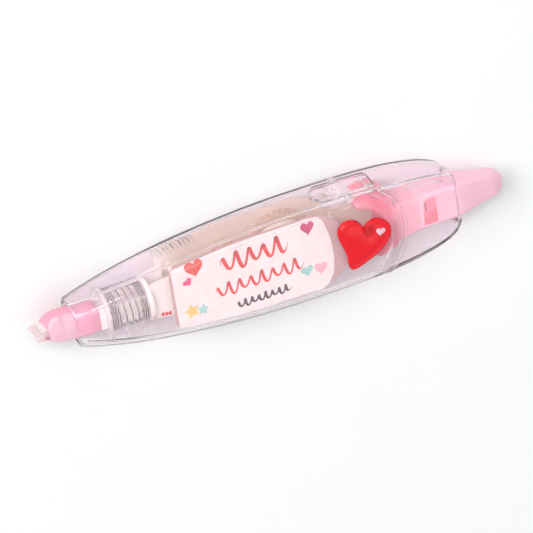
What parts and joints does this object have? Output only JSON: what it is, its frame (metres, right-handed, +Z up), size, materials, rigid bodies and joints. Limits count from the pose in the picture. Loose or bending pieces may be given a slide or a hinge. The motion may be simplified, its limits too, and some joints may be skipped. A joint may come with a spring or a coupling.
{
  "type": "correction tape roller",
  "caption": "Press-type tape roller in a clear leaf-shaped casing with a retracting nozzle, geared tape cartridge, spring, release button, push button and heart badge.",
  "frame": {"origin": "centre of the bounding box's bottom face, under the middle of the pen as it lies on its unlabelled side face", "axes": "+X along the pen from the nozzle to the push button, +Y towards the release button, +Z up out of the labelled side face"},
  "size_m": [0.14, 0.0282, 0.0188],
  "materials": {
    "clear_shell": "polished clear, pale lilac tint",
    "clear_button": "polished clear",
    "clear_inner": "clear",
    "badge_red": "high gloss",
    "badge_white": "gloss",
    "pink_plastic": "satin gloss",
    "tip_plastic": "translucent",
    "white_plastic": "satin",
    "label_paper": "printed film",
    "printed_tape": "printed tape",
    "backing_tape": "paper backing",
    "tape_roll": "wound tape",
    "gear_plastic": "moulded",
    "clutch_plastic": "moulded",
    "spring_steel": "bright wire"
  },
  "bodies": {
    "casing": {"shell_near": "clear_shell", "shell_far": "clear_shell", "spring_seat": "clear_inner", "heart_badge": "badge_red", "small_heart": "badge_white", "return_spring": "spring_steel"},
    "release": {"release_button": "clear_button"},
    "carriage": {"nozzle": "pink_plastic", "applicator_tip": "tip_plastic", "cartridge_base": "white_plastic", "cartridge_cover": "white_plastic", "label": "label_paper", "tape_feed": "printed_tape", "tape_return": "backing_tape", "pusher_frame": "pink_plastic", "push_button": "pink_plastic"},
    "supply": {"supply_gear": "gear_plastic", "clutch_ring": "clutch_plastic", "supply_core": "white_plastic", "supply_tape": "tape_roll"},
    "take_up": {"take_up_reel": "gear_plastic", "used_tape": "backing_tape"}
  },
  "joints": [
    {"name": "carriage_slide", "type": "slide", "parent": "casing", "child": "carriage", "axis": [1, 0, 0], "range_m": [0, 0.0115], "deforming": ["return_spring"]},
    {"name": "release_rock", "type": "hinge", "parent": "casing", "child": "release", "pos_m": [0.0233, 0.01255, 0.0085], "axis": [0, 0, 1], "range_deg": [0, 5], "stiffness_Nm_per_rad": 0.02},
    {"name": "supply_spin", "type": "hinge", "parent": "carriage", "child": "supply", "pos_m": [0.005, 0, 0.0085], "axis": [0, 0, 1], "continuous": true},
    {"name": "take_up_spin", "type": "hinge", "parent": "carriage", "child": "take_up", "pos_m": [-0.01075, 0, 0.0085], "axis": [0, 0, 1], "continuous": true}
  ],
  "couplings": [
    {"joint": "take_up_spin", "follows": "supply_spin", "ratio": -1.52}
  ]
}
